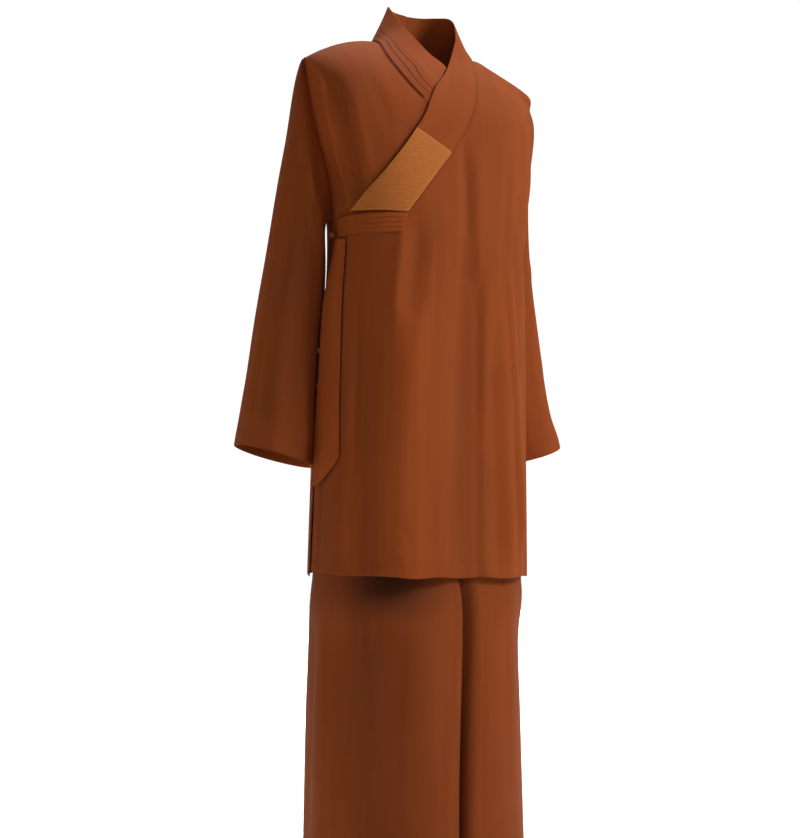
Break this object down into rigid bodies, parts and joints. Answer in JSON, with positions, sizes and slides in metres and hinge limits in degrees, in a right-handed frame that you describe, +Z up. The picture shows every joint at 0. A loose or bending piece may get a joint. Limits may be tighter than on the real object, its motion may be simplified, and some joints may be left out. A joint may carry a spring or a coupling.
{
  "type": "buddhist monk robe: crossover coat and wide trousers",
  "caption": "Crossover coat closing at one side with a hanging tie, standing collar band and open sleeves, over wide plain trousers, in its worn hollow form.",
  "frame": {"origin": "middle of the neck on the shoulder line, where the wearer holds the coat", "axes": "+Z up, -Y to the front, +X to the wearer's left"},
  "size_m": [0.631, 0.2805, 1.4769],
  "materials": {
    "rust_cloth": "matt woven rust-brown cloth",
    "dark_rust_cloth": "matt woven rust-brown cloth, in shade",
    "patch_cloth": "matt ochre cloth, closely stitched"
  },
  "bodies": {
    "root": {"coat_back": "dark_rust_cloth", "coat_front_left": "rust_cloth", "coat_front_right": "rust_cloth", "sleeve_left": "rust_cloth", "sleeve_right": "rust_cloth", "collar_left": "rust_cloth", "collar_right": "rust_cloth", "collar_tuck_1": "dark_rust_cloth", "collar_tuck_2": "dark_rust_cloth", "collar_tuck_3": "dark_rust_cloth", "collar_patch": "patch_cloth", "side_band": "dark_rust_cloth", "tie_ribbon": "rust_cloth", "knot_1": "dark_rust_cloth", "knot_2": "dark_rust_cloth", "knot_3": "dark_rust_cloth", "trouser_left": "dark_rust_cloth", "trouser_right": "dark_rust_cloth", "waistband": "dark_rust_cloth"}
  },
  "joints": []
}
